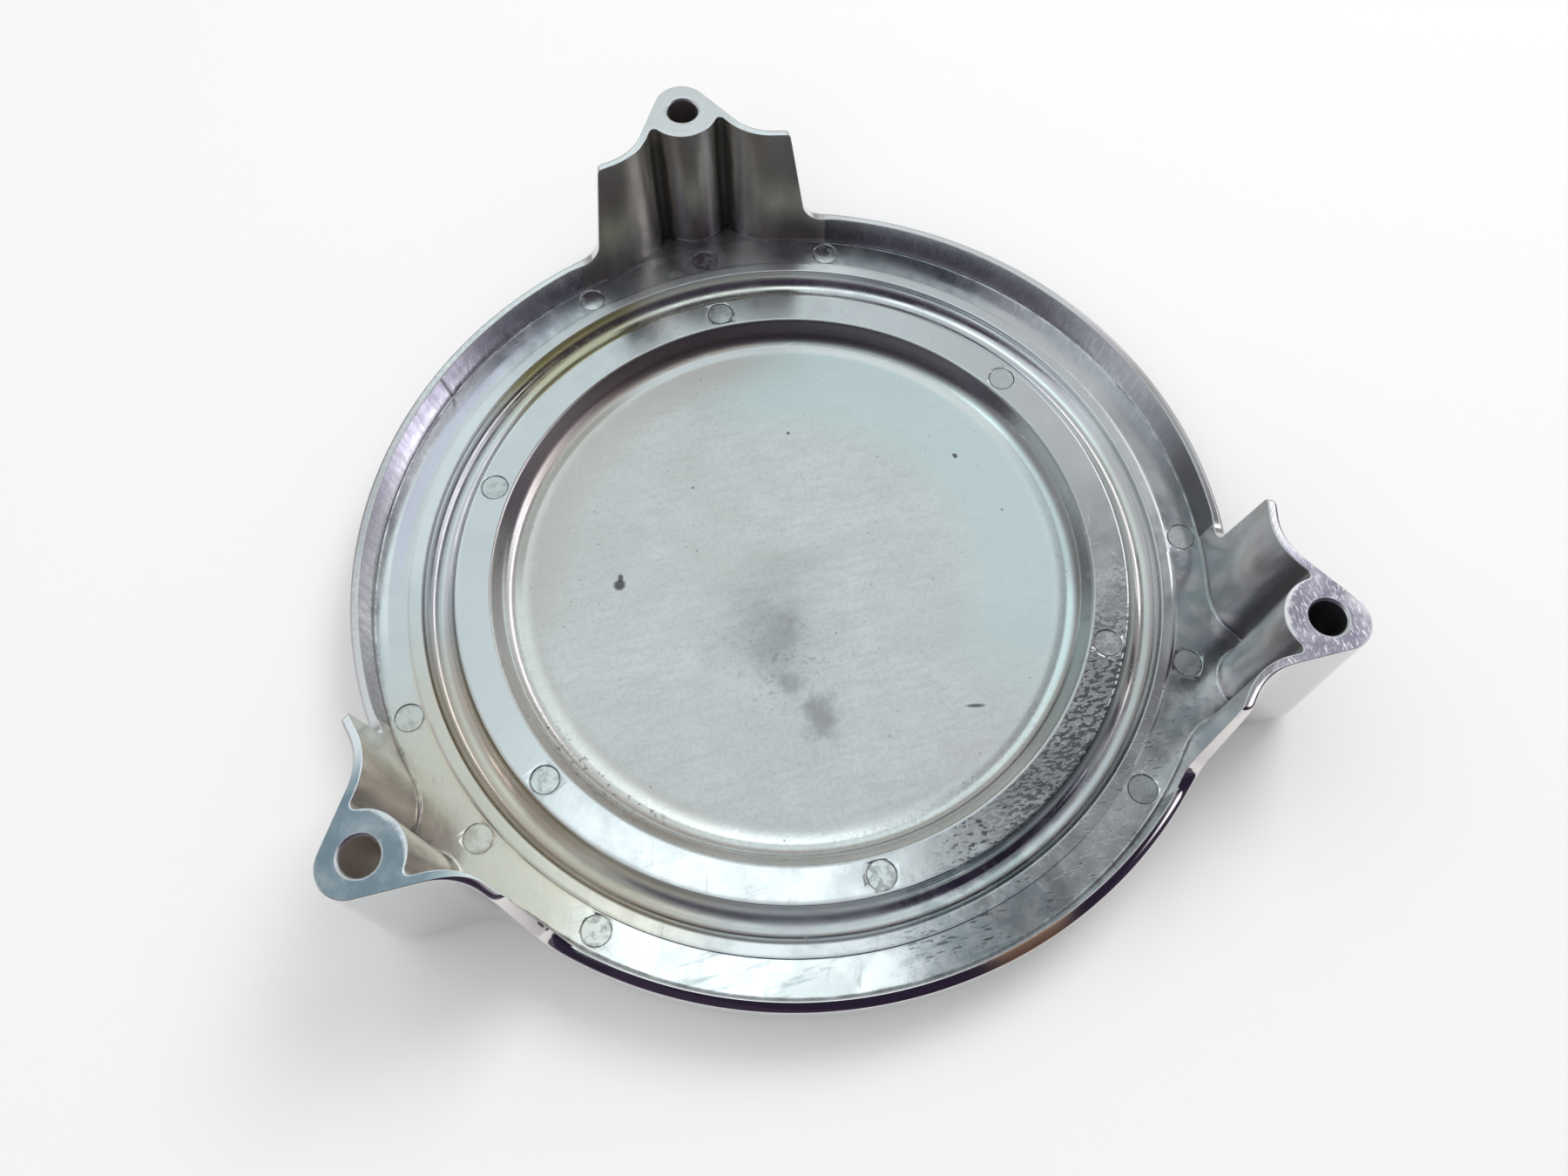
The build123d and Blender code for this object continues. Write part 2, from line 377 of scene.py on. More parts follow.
# The casting's skin.
mesh = bmesh.new()
paintedLightMarks = mesh.verts.layers.float_color.new("paintedLightMarks")  # painted shade in hollows, painted shade along the wall's foot, edges painted bright as rubbed metal and a painted highlight
grid = [[mesh.verts.new(point) for point in row] for row in rows]
lipRows = set()
for start, stop in ((ringRow - 4, ringRow + 1), (ringRow + pinSteps, ringRow + 12),
                    (outerRow - 11, outerRow + 1), (topRow - 3, topRow + 1)):
    lipRows |= set(range(start, stop))
for (ear, turn), row, points in zip(columns, grid, rows):
    away = math.degrees(abs(turn))
    hollow = smooth(away, 3.0, 3.9) * (1 - smooth(away, 5.2, 6.6))  # the groove beside the boss
    inner = voidReach(abs(turn)) * mm
    for r in range(outerRow, topRow):
        low = points[r].z - casting["ringFloor"] * mm
        gap = inner - points[r].xy.length
        depth = 1 - 0.35 * smooth(low, 18 * mm, 32 * mm)
        foot = (1 - smooth(low, 0.1 * mm, 0.9 * mm)) * (1 - smooth(gap, 0.3 * mm, 0.9 * mm))
        row[r][paintedLightMarks] = (hollow * depth * (1 - smooth(gap, 0.5 * mm, 5 * mm)), foot, float(r in lipRows), 1)
    for r in list(range(outerRow)) + list(range(topRow, rowCount)):
        row[r][paintedLightMarks] = (0, 0, float(r in lipRows), 1)


def addVert(x, y, z):  # in metres, with no painted shade or highlight
    vert = mesh.verts.new((x, y, z))
    vert[paintedLightMarks] = (0, 0, 0, 1)
    return vert


insideCentre = addVert(0, 0, plate["dishFloor"] * mm)
frontCentre = addVert(0, 0, 0)
finishes = ("dish", "rings", "pocket", "rimWall", "pad", "land", "outer", "front", "bore", "pinMark",
            "chamfer")
skipped = set()


def finishOf(row, turn):
    sideways = wallMiddle * math.sin(abs(turn))
    if row < ringRow - 2:
        return "dish"
    if row < footRow:
        return "rings"
    if row < topRow - 3:
        return "pocket" if sideways < footMiddle else "rimWall"
    if row < topRow + topSteps + roundSteps - 2:
        return "pad" if sideways < casting["padHalfWidth"] and row < topRow + topSteps else "land"
    return "outer" if row < frontRow + 1 else "front"


def addFace(corners, finish):
    face = mesh.faces.new(corners)
    face.material_index = finishes.index(finish)
    face.smooth = True


def openBlock(column, reach, firstRow, lastRow):  # leaves out a block of faces; its border in order
    left, right = column - reach, column + reach
    for c in range(left, right):
        skipped.update((c % columnCount, r) for r in range(firstRow, lastRow))
    border = [(c, firstRow) for c in range(left, right)]
    border += [(right, r) for r in range(firstRow, lastRow)]
    border += [(c, lastRow) for c in range(right, left, -1)]
    border += [(left, r) for r in range(lastRow, firstRow, -1)]
    return [grid[c % columnCount][r] for c, r in border]


def addRings(border, centre, steps):  # steps are (radius, height, finish); returns the last ring
    first = border[0].co.xy - centre
    turn = math.atan2(first.y, first.x)
    sweep = sum((a.co.xy - centre).cross(b.co.xy - centre) for a, b in zip(border, border[1:]))
    step = math.copysign(2 * math.pi / len(border), sweep)
    loop = border
    for radius, height, finish in steps:
        ring = []
        for i in range(len(border)):
            angle = turn + i * step
            spot = centre + Vector((math.cos(angle), math.sin(angle))) * radius * mm
            ring.append(addVert(spot.x, spot.y, height * mm))
        for i in range(len(loop)):
            addFace((loop[i - 1], loop[i], ring[i], ring[i - 1]), finish)
        loop = ring
    return loop


def columnAt(degrees):  # the column nearest to this angle round the part's axis
    gaps = [turnGap(ear + math.degrees(turn), degrees) for ear, turn in columns]
    return gaps.index(min(gaps))


def axisPoint(degrees, radius):
    angle = math.radians(degrees)
    return Vector((math.cos(angle), math.sin(angle))) * radius * mm


def joinLoops(first, second, centre, finish):  # two rings of as many points, by their angle
    def turnAt(vert):
        return math.atan2(vert.co.y - centre.y, vert.co.x - centre.x)
    a = sorted(first, key=turnAt)
    b = sorted(second, key=turnAt)
    for i in range(len(a)):
        addFace((a[i - 1], a[i], b[i], b[i - 1]), finish)


holeReach = 10  # columns of the grid that a screw hole takes up to each side
radius, chamfer, height = casting["holeRadius"], casting["holeChamfer"], casting["mountHeight"]
seat, low = casting["headRadius"], casting["ringFront"]
seatTop = low + casting["headDepth"]
for ear in casting["earAngles"]:
    centre = axisPoint(ear, casting["boltRadius"])
    border = openBlock(columnAt(ear), holeReach, topRow + 2, topRow + 8)
    topLoop = addRings(border, centre, (
        (radius + chamfer + 0.12, height, "pad"), (radius + chamfer, height - 0.02, "chamfer"),
        (radius + 0.03, height - chamfer, "chamfer"), (radius, height - chamfer - 0.08, "bore"),
        (radius, height - 2, "bore"), (radius, 22, "bore"), (radius, 12, "bore")))
    border = openBlock(columnAt(ear), holeReach, frontRow, frontRow + 6)
    seatLoop = addRings(border, centre, (
        (seat + 0.12, low, "front"), (seat, low + 0.1, "bore"),
        (seat, seatTop - 0.3, "bore"), (seat - 0.3, seatTop, "bore"), (radius + 0.15, seatTop, "bore"),
        (radius, seatTop + 0.15, "bore")))
    joinLoops(topLoop, seatLoop, centre, "bore")

pins = {  # millimetres below the ring's face; the spread is in degrees
    "spread": 20.0,
    "discDepth": 0.1,
    "groove": 0.24,
}
pinPlaces = [(ear + side, plate["outerPins"])
             for ear in casting["earAngles"] for side in (-pins["spread"], 0, pins["spread"])]
pinPlaces += [(casting["earAngles"][0] + 60 * i, plate["innerPins"]) for i in range(6)]
top, pin = casting["ringFloor"], plate["pinRadius"]
rimBottom = top - pins["groove"]
for i, (degrees, radius) in enumerate(pinPlaces):
    column, centre = columnAt(degrees), axisPoint(degrees, radius)
    firstRow = ringRow if radius < plate["grooveRadius"] else outerRow
    halfWidth = math.degrees((pin + 0.15) / radius)
    reach, nearest = 0, 0
    while nearest <= halfWidth:
        reach += 1
        sides = [columns[(column + s * reach) % columnCount] for s in (-1, 1)]
        nearest = min(turnGap(ear + math.degrees(turn), degrees) for ear, turn in sides)
    border = openBlock(column, reach, firstRow, firstRow + pinSteps)
    disc = top - pins["discDepth"] - 0.05 * noise.noise((i * 1.7, 0.3, 0.1))
    loop = addRings(border, centre, (
        (pin + 0.1, top, "rings"), (pin + 0.03, top - 0.03, "pinMark"), (pin - 0.03, rimBottom, "pinMark"),
        (pin - 0.16, rimBottom, "pinMark"), (pin - 0.24, disc, "pinMark"), (pin * 0.6, disc, "pinMark"),
        (pin * 0.3, disc, "pinMark")))
    middle = addVert(*centre, disc * mm)
    for k in range(len(loop)):
        addFace((loop[k - 1], loop[k], middle), "pinMark")

for c in range(columnCount):
    following = (c + 1) % columnCount
    turn = (columns[c][1] + columns[following][1]) / 2
    if columns[following][0] != columns[c][0]:
        turn = math.radians(59.9)
    for r in range(rowCount - 1):
        if (c, r) not in skipped:
            corners = (grid[c][r], grid[c][r + 1], grid[following][r + 1], grid[following][r])
            addFace(corners, finishOf(r, turn))
    addFace((insideCentre, grid[c][0], grid[following][0]), "dish")
    addFace((frontCentre, grid[following][-1], grid[c][-1]), "front")

bmesh.ops.delete(mesh, geom=[v for v in mesh.verts if not v.link_faces], context="VERTS")
bmesh.ops.recalc_face_normals(mesh, faces=mesh.faces)
castingMesh = bpy.data.meshes.new("coverCasting")
mesh.to_mesh(castingMesh)
print("open edges", sum(1 for e in mesh.edges if not e.is_manifold), "faces", len(mesh.faces))
mesh.free()
coverCasting = bpy.data.objects.new("coverCasting", castingMesh)
bpy.context.scene.collection.objects.link(coverCasting)
castingMesh.set_sharp_from_angle(angle=math.radians(42))
weighted = coverCasting.modifiers.new("weightedNormal", "WEIGHTED_NORMAL")
weighted.keep_sharp = True
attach(coverCasting, "root")
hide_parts(node)
print("casting skin made")


# Node helpers.
def wire(tree, socket, value):
    if isinstance(value, bpy.types.NodeSocket):
        tree.links.new(value, socket)
    else:
        socket.default_value = value


def calc(tree, operation, *values):
    made = tree.nodes.new("ShaderNodeMath")
    made.operation = operation
    for socket, value in zip(made.inputs, values):
        wire(tree, socket, value)
    return made.outputs[0]


def plus(tree, first, second):
    return calc(tree, "ADD", first, second)


def minus(tree, first, second):
    return calc(tree, "SUBTRACT", first, second)


def times(tree, first, second):
    return calc(tree, "MULTIPLY", first, second)


def hypotenuse(tree, first, second):
    return calc(tree, "SQRT", plus(tree, calc(tree, "POWER", first, 2.0), calc(tree, "POWER", second, 2.0)))


def vectorMath(tree, operation, vector, other):
    made = tree.nodes.new("ShaderNodeVectorMath")
    made.operation = operation
    tree.links.new(vector, made.inputs[0])
    wire(tree, made.inputs["Scale"] if operation == "SCALE" else made.inputs[1], other)
    return made.outputs[0]


def turned(tree, vector, angle):  # about Z, in radians
    made = tree.nodes.new("ShaderNodeVectorRotate")
    made.rotation_type = "Z_AXIS"
    wire(tree, made.inputs["Angle"], angle)
    tree.links.new(vector, made.inputs["Vector"])
    return made.outputs[0]


def remap(tree, value, low, high, toLow=0.0, toHigh=1.0):
    made = tree.nodes.new("ShaderNodeMapRange")
    made.interpolation_type = "SMOOTHSTEP"
    for socket, given in zip(made.inputs, (value, low, high, toLow, toHigh)):
        wire(tree, socket, given)
    return made.outputs[0]


def blendColour(tree, factor, first, second):
    made = tree.nodes.new("ShaderNodeMix")
    made.data_type = "RGBA"
    wire(tree, made.inputs[0], factor)
    wire(tree, made.inputs[6], first)
    wire(tree, made.inputs[7], second)
    return made.outputs[2]


def noiseAt(tree, vector, scale, detail=3.0, roughness=0.55):
    made = tree.nodes.new("ShaderNodeTexNoise")
    wire(tree, made.inputs["Vector"], vector)
    wire(tree, made.inputs["Scale"], scale)
    made.inputs["Detail"].default_value = detail
    made.inputs["Roughness"].default_value = roughness
    return made.outputs["Fac"]


def newGroup(name, outputs, **inputs):  # outputs are titles, inputs titles with their defaults
    tree = bpy.data.node_groups.new(name, "ShaderNodeTree")
    for title, value in inputs.items():
        socket = tree.interface.new_socket(title, in_out="INPUT", socket_type="NodeSocketFloat")
        socket.default_value = value
    for title in outputs:
        tree.interface.new_socket(title, in_out="OUTPUT", socket_type="NodeSocketFloat")
    return tree, tree.nodes.new("NodeGroupInput").outputs, tree.nodes.new("NodeGroupOutput").inputs


def objectPoint(tree, offset=None):  # place on the part in millimetres, shifted by a seed
    point = vectorMath(tree, "SCALE", tree.nodes.new("ShaderNodeTexCoord").outputs["Object"], 1 / mm)
    if offset is None:
        return point
    shift = tree.nodes.new("ShaderNodeCombineXYZ")
    for socket in shift.inputs:
        wire(tree, socket, offset)
    return vectorMath(tree, "ADD", point, shift.outputs[0])


def axesOf(tree, vector):
    made = tree.nodes.new("ShaderNodeSeparateXYZ")
    tree.links.new(vector, made.inputs[0])
    return made.outputs


def overThreshold(tree, given, value):  # where the value is over a group's threshold, softened both ways
    low = minus(tree, given["Threshold"], given["Soften"])
    return remap(tree, value, low, plus(tree, given["Threshold"], given["Soften"]))


# Soft ragged spot on the plan of the part, in millimetres; Stretch makes a streak that leans by Lean degrees.
tree, given, out = newGroup("spot", ("Mask",), X=0, Y=0, Radius=10, Edge=0.4, Stretch=1, Lean=0, Ragged=0.5)
spotTree = tree
axes = axesOf(tree, objectPoint(tree))
acrossX = minus(tree, axes[0], given["X"])
acrossY = minus(tree, axes[1], given["Y"])
lean = calc(tree, "RADIANS", given["Lean"])
cosLean = calc(tree, "COSINE", lean)
sinLean = calc(tree, "SINE", lean)
along = plus(tree, times(tree, acrossX, cosLean), times(tree, acrossY, sinLean))
aside = minus(tree, times(tree, acrossY, cosLean), times(tree, acrossX, sinLean))
far = hypotenuse(tree, calc(tree, "DIVIDE", along, given["Stretch"]), aside)
far = calc(tree, "DIVIDE", far, given["Radius"])
ragged = minus(tree, noiseAt(tree, objectPoint(tree), calc(tree, "DIVIDE", 1.3, given["Radius"])), 0.5)
far = plus(tree, far, times(tree, ragged, times(tree, given["Ragged"], 2.0)))
wire(tree, out["Mask"], remap(tree, far, minus(tree, 1.0, given["Edge"]), 1.0, 1.0, 0.0))

# Soft sector of a ring: centred on a turn in degrees, between two radii.
tree, given, out = newGroup("sector", ("Mask",), Turn=0, Spread=20, Fade=10, From=0, To=200, Soften=1)
sectorTree = tree
axes = axesOf(tree, objectPoint(tree))
angle = calc(tree, "DEGREES", calc(tree, "ARCTAN2", axes[1], axes[0]))
gap = calc(tree, "ABSOLUTE", calc(tree, "WRAP", minus(tree, angle, given["Turn"]), 180.0, -180.0))
along = remap(tree, gap, given["Spread"], plus(tree, given["Spread"], given["Fade"]), 1.0, 0.0)
radial = hypotenuse(tree, axes[0], axes[1])
start = remap(tree, radial, minus(tree, given["From"], given["Soften"]), given["From"])
stop = remap(tree, radial, given["To"], plus(tree, given["To"], given["Soften"]), 1.0, 0.0)
wire(tree, out["Mask"], times(tree, along, times(tree, start, stop)))

# Cloudy patches.
tree, given, out = newGroup("cloud", ("Mask", "Value"), Scale=0.1, Threshold=0.5, Soften=0.15, Seed=0)
cloudTree = tree
value = noiseAt(tree, objectPoint(tree, given["Seed"]), given["Scale"], 5.0, 0.6)
wire(tree, out["Mask"], overThreshold(tree, given, value))
wire(tree, out["Value"], value)

# Fine straight scratches in three directions.
tree, given, out = newGroup("scratches", ("Mask",), Scale=0.4, Amount=0.3, Seed=0)
scratchTree = tree
total = None
for lean in (0.35, 1.5, 2.6):
    spun = turned(tree, objectPoint(tree, given["Seed"]), lean)
    line = noiseAt(tree, vectorMath(tree, "MULTIPLY", spun, (1.0, 0.035, 1.0)), given["Scale"], 2.0, 0.5)
    thin = remap(tree, calc(tree, "ABSOLUTE", minus(tree, line, 0.5)), 0.0, 0.012, 1.0, 0.0)
    gate = noiseAt(tree, objectPoint(tree, given["Seed"]), 0.12 + lean * 0.03, 2.0)
    thin = times(tree, thin, remap(tree, gate, 0.5, 0.62))
    total = thin if total is None else calc(tree, "MAXIMUM", total, thin)
wire(tree, out["Mask"], times(tree, total, given["Amount"]))

# Bare, pitted specks that run together, drawn out along X.
tree, given, out = newGroup("specks", ("Mask",), Scale=1.5, Threshold=0.55, Soften=0.04, Stretch=0.4, Seed=0)
speckTree = tree
drawn = tree.nodes.new("ShaderNodeCombineXYZ")
axes = axesOf(tree, objectPoint(tree, given["Seed"]))
wire(tree, drawn.inputs[0], times(tree, axes[0], given["Stretch"]))
tree.links.new(axes[1], drawn.inputs[1])
tree.links.new(axes[2], drawn.inputs[2])
value = noiseAt(tree, drawn.outputs[0], given["Scale"], 4.0, 0.65)
high = plus(tree, given["Threshold"], given["Soften"])
wire(tree, out["Mask"], remap(tree, value, given["Threshold"], high))

# Small pits, in the share of the cells that Cover gives.
tree, given, out = newGroup("pits", ("Mask",), Scale=2.0, Size=0.25, Cover=0.5, Seed=0)
pitTree = tree
cells = tree.nodes.new("ShaderNodeTexVoronoi")
tree.links.new(objectPoint(tree, given["Seed"]), cells.inputs["Vector"])
wire(tree, cells.inputs["Scale"], given["Scale"])
dot = remap(tree, cells.outputs["Distance"], times(tree, given["Size"], 0.6), given["Size"], 1.0, 0.0)
picked = calc(tree, "LESS_THAN", axesOf(tree, cells.outputs["Color"])[0], given["Cover"])
wire(tree, out["Mask"], times(tree, dot, picked))

# Mask for painted shade in hollows and along the foot of the wall, and for edges painted bright as rubbed
# metal and a painted highlight, from the marks on the skin.
tree, given, out = newGroup("paintedShadeAndSheen", ("Mask",), Hollow=1, Foot=1, Edge=0, Scale=0.5, Seed=0)
paintedShadeAndSheenTree = tree
attribute = tree.nodes.new("ShaderNodeAttribute")
attribute.attribute_name = "paintedLightMarks"
parts = tree.nodes.new("ShaderNodeSeparateColor")
tree.links.new(attribute.outputs["Color"], parts.inputs[0])
total = None
for title, outlet in (("Hollow", "Red"), ("Foot", "Green"), ("Edge", "Blue")):
    share = times(tree, parts.outputs[outlet], given[title])
    total = share if total is None else plus(tree, total, share)
broken = noiseAt(tree, objectPoint(tree, given["Seed"]), given["Scale"], 4.0, 0.6)
wire(tree, out["Mask"], remap(tree, plus(tree, total, minus(tree, broken, 0.62)), 0.0, 0.5))

# Long streaks down the walls.
tree, given, out = newGroup("streaks", ("Mask",), Scale=0.3, Threshold=0.5, Soften=0.12, Seed=0)
streakTree = tree
squeezed = vectorMath(tree, "MULTIPLY", objectPoint(tree, given["Seed"]), (1.0, 1.0, 0.12))
value = noiseAt(tree, squeezed, given["Scale"], 4.0, 0.55)
wire(tree, out["Mask"], overThreshold(tree, given, value))

# Parallel cutter lines on a milled face.
tree, given, out = newGroup("millLines", ("Value",), Lean=0.5, Scale=2.5, Seed=0)
millTree = tree
spun = turned(tree, objectPoint(tree, given["Seed"]), given["Lean"])
squeezed = vectorMath(tree, "MULTIPLY", spun, (1.0, 0.06, 1.0))
wire(tree, out["Value"], noiseAt(tree, squeezed, given["Scale"], 3.0, 0.6))


def use(tree, group, outlet="Mask", **values):
    made = tree.nodes.new("ShaderNodeGroup")
    made.node_tree = group
    for title, value in values.items():
        wire(tree, made.inputs[title], value)
    return made.outputs[outlet]


def clouds(tree, scale, threshold, soften, seed):
    return use(tree, cloudTree, Scale=scale, Threshold=threshold, Soften=soften, Seed=seed)


def cloudHeight(tree, scale, seed):
    return use(tree, cloudTree, outlet="Value", Scale=scale, Seed=seed)


def specks(tree, scale, threshold, soften, drawnOut, seed):
    return use(tree, speckTree, Scale=scale, Threshold=threshold, Soften=soften, Stretch=drawnOut, Seed=seed)


def streaks(tree, scale, threshold, soften, seed):
    return use(tree, streakTree, Scale=scale, Threshold=threshold, Soften=soften, Seed=seed)


def scratches(tree, scale, amount, seed):
    return use(tree, scratchTree, Scale=scale, Amount=amount, Seed=seed)


def paintedShadeAndSheen(tree, hollow, foot, edge, scale, seed):
    return use(tree, paintedShadeAndSheenTree, Hollow=hollow, Foot=foot, Edge=edge, Scale=scale, Seed=seed)


def sector(tree, turn, spread, fade, low, high, soften=1):
    return use(tree, sectorTree, Turn=turn, Spread=spread, Fade=fade, From=low, To=high, Soften=soften)


def wallSector(tree, turn, spread, fade):  # a sector that takes in all of the walls
    return sector(tree, turn, spread, fade, 80, 110)


def metal(name, look):
    material = bpy.data.materials.new(name)
    material.use_nodes = True
    shader = material.node_tree.nodes["Principled BSDF"]
    shader.inputs["Metallic"].default_value = 1.0
    shader.inputs["Roughness"].default_value = look["roughness"]
    shader.inputs["Base Color"].default_value = (*look["base"], 1)
    materials[name] = material
    return material.node_tree, shader


def paint(tree, colour, mask, share, target):  # lays a colour on where the mask is, by this share
    return blendColour(tree, times(tree, mask, share), colour, (*target, 1))


def paintSectors(tree, colour, look, title):
    # each has its turn, spread and fade in degrees, two radii, soft edge, share and colour
    for turn, spread, fade, low, high, soften, share, name in look[title]:
        colour = paint(tree, colour, sector(tree, turn, spread, fade, low, high, soften), share, look[name])
    return colour


def finish(tree, shader, colour=None, rough=None):
    for title, value in (("Base Color", colour), ("Roughness", rough)):
        if value is not None:
            wire(tree, shader.inputs[title], value)


def relief(tree, shader, height, depth):  # fine relief, depth in millimetres
    made = tree.nodes.new("ShaderNodeBump")
    made.inputs["Distance"].default_value = depth * mm
    tree.links.new(height, made.inputs["Height"])
    tree.links.new(made.outputs["Normal"], shader.inputs["Normal"])


materials = {}

# The rings, groove and band, plated over the casting's own skin.
look = {
    "roughness": 0.13,
    "base": (0.72, 0.73, 0.74),
    "worn": (0.62, 0.66, 0.67),
    "gold": (0.68, 0.60, 0.47),
    "brown": (0.45, 0.36, 0.24),
    "violet": (0.72, 0.67, 0.82),
    "teal": (0.30, 0.37, 0.38),
    "olive": (0.60, 0.54, 0.30),
    "grey": (0.28, 0.28, 0.30),
    "light": (0.93, 0.95, 0.95),
    "nearBlack": (0.05, 0.05, 0.055),
    # in the sectors, gold, brown and olive are patina, light is painted highlight, grey is painted shade and
    # violet is painted reflection
    "sectors": (
        (210, 12, 18, 77.6, 96, 0.6, 0.7, "gold"), (142, 18, 16, 79, 84, 0.6, 0.6, "violet"),
        (213, 20, 22, 68.0, 74.4, 0.6, 0.35, "brown"), (104, 22, 16, 68.0, 74.4, 0.6, 0.7, "olive"),
        (165, 26, 12, 71.8, 74.4, 0.6, 0.4, "grey"), (240, 32, 12, 74.6, 77.3, 0.6, 0.3, "grey"),
        (150, 12, 12, 74.6, 77.3, 0.6, 0.5, "light"), (304, 6, 7, 77.6, 84, 0.6, 0.5, "light"),
        (146, 26, 12, 81.6, 84, 0.6, 0.9, "light"), (84, 14, 10, 74.6, 84, 0.6, 0.95, "light"),
        (211, 20, 20, 70.0, 77.6, 0.6, 0.6, "gold"), (345, 20, 20, 69.0, 73.0, 0.6, 0.3, "gold"),
        (302, 12, 14, 68.0, 71.0, 0.6, 0.75, "grey"), (282, 7, 8, 77.6, 84, 0.6, 0.45, "grey"),
        (352, 18, 9, 78, 84, 0.6, 0.5, "grey"), (62, 10, 9, 77.6, 84, 0.6, 0.5, "grey"),
        (150, 14, 14, 68.0, 71.0, 0.6, 0.7, "light"), (247, 14, 10, 77.6, 84, 0.6, 0.5, "light"),
        (85, 14, 10, 68, 77.6, 0.6, 0.6, "light"), (320, 12, 14, 72, 77, 0.6, 0.3, "grey"),
        (28, 14, 10, 72.5, 74.4, 0.6, 0.8, "light"), (255, 25, 15, 68.0, 70.4, 0.6, 0.6, "light"),
    ),
    "mottled": (  # turn, spread, fade, two radii, share
        (284, 8, 8, 77.6, 84, 0.5), (335, 14, 12, 78, 90, 0.7), (60, 12, 10, 78, 84, 0.6),
        (108, 14, 10, 77.4, 90, 0.5), (284, 8, 8, 68, 77, 0.5),
    ),
    "pitting": (  # turn, spread, fade, two radii, threshold, soft edge and stretch of the specks
        (314, 12, 26, 61.8, 68.2, 0.50, 0.03, 0.42), (298, 12, 10, 61.8, 68.2, 0.56, 0.03, 0.42),
        (298, 18, 14, 75, 84, 0.56, 0.12, 0.22),
    ),
    "clouded": (  # turn, two radii, added roughness
        (90, 60, 100, 0.09), (90, 74.6, 100, 0.1), (240, 68, 71.4, 0.22),
    ),
    "grain": 0.012,
}
tree, shader = metal("rings", look)
patch = clouds(tree, 0.11, 0.5, 0.14, 3)
fine = clouds(tree, 0.5, 0.5, 0.16, 11)
colour = paint(tree, (*look["base"], 1), patch, 0.25, look["worn"])
colour = paintSectors(tree, colour, look, "sectors")
for turn, spread, fade, low, high, share in look["mottled"]:
    mottle = clouds(tree, 0.22, 0.48, 0.1, turn)
    mottle = times(tree, sector(tree, turn, spread, fade, low, high), mottle)
    colour = paint(tree, colour, mottle, share, look["teal"])
smeared = times(tree, sector(tree, 262, 16, 14, 77.6, 84),
                specks(tree, 0.55, 0.52, 0.1, 0.12, 5))
colour = paint(tree, colour, smeared, 0.5, look["teal"])
pitted = None
for turn, spread, fade, low, high, threshold, soften, drawnOut in look["pitting"]:
    bare = specks(tree, 1.5, threshold, soften, drawnOut, turn)
    bare = times(tree, sector(tree, turn, spread, fade, low, high, 0.5), bare)
    pitted = bare if pitted is None else calc(tree, "MAXIMUM", pitted, bare)
colour = paint(tree, colour, pitted, 0.85, look["nearBlack"])
# Painted shade along the wall's foot and in the hollows beside each boss, less of it by the right ear.
foot = paintedShadeAndSheen(tree, 0.45, 0.4, 0.0, 0.3, 2)
foot = times(tree, foot, minus(tree, 1.0, times(tree, sector(tree, 330, 20, 6, 77, 110), 0.7)))
colour = paint(tree, colour, foot, 0.7, look["nearBlack"])
rough = plus(tree, times(tree, patch, 0.1), look["roughness"])
for turn, low, high, amount in look["clouded"]:
    rough = plus(tree, rough, times(tree, sector(tree, turn, 26, 14, low, high), amount))
lines = scratches(tree, 0.35, 0.3, 4)
rough = plus(tree, rough, times(tree, calc(tree, "MAXIMUM", lines, pitted), 0.3))
finish(tree, shader, colour, rough)
height = plus(tree, cloudHeight(tree, 0.35, 7), times(tree, fine, 0.06))
relief(tree, shader, minus(tree, height, times(tree, pitted, 1.5)), look["grain"])

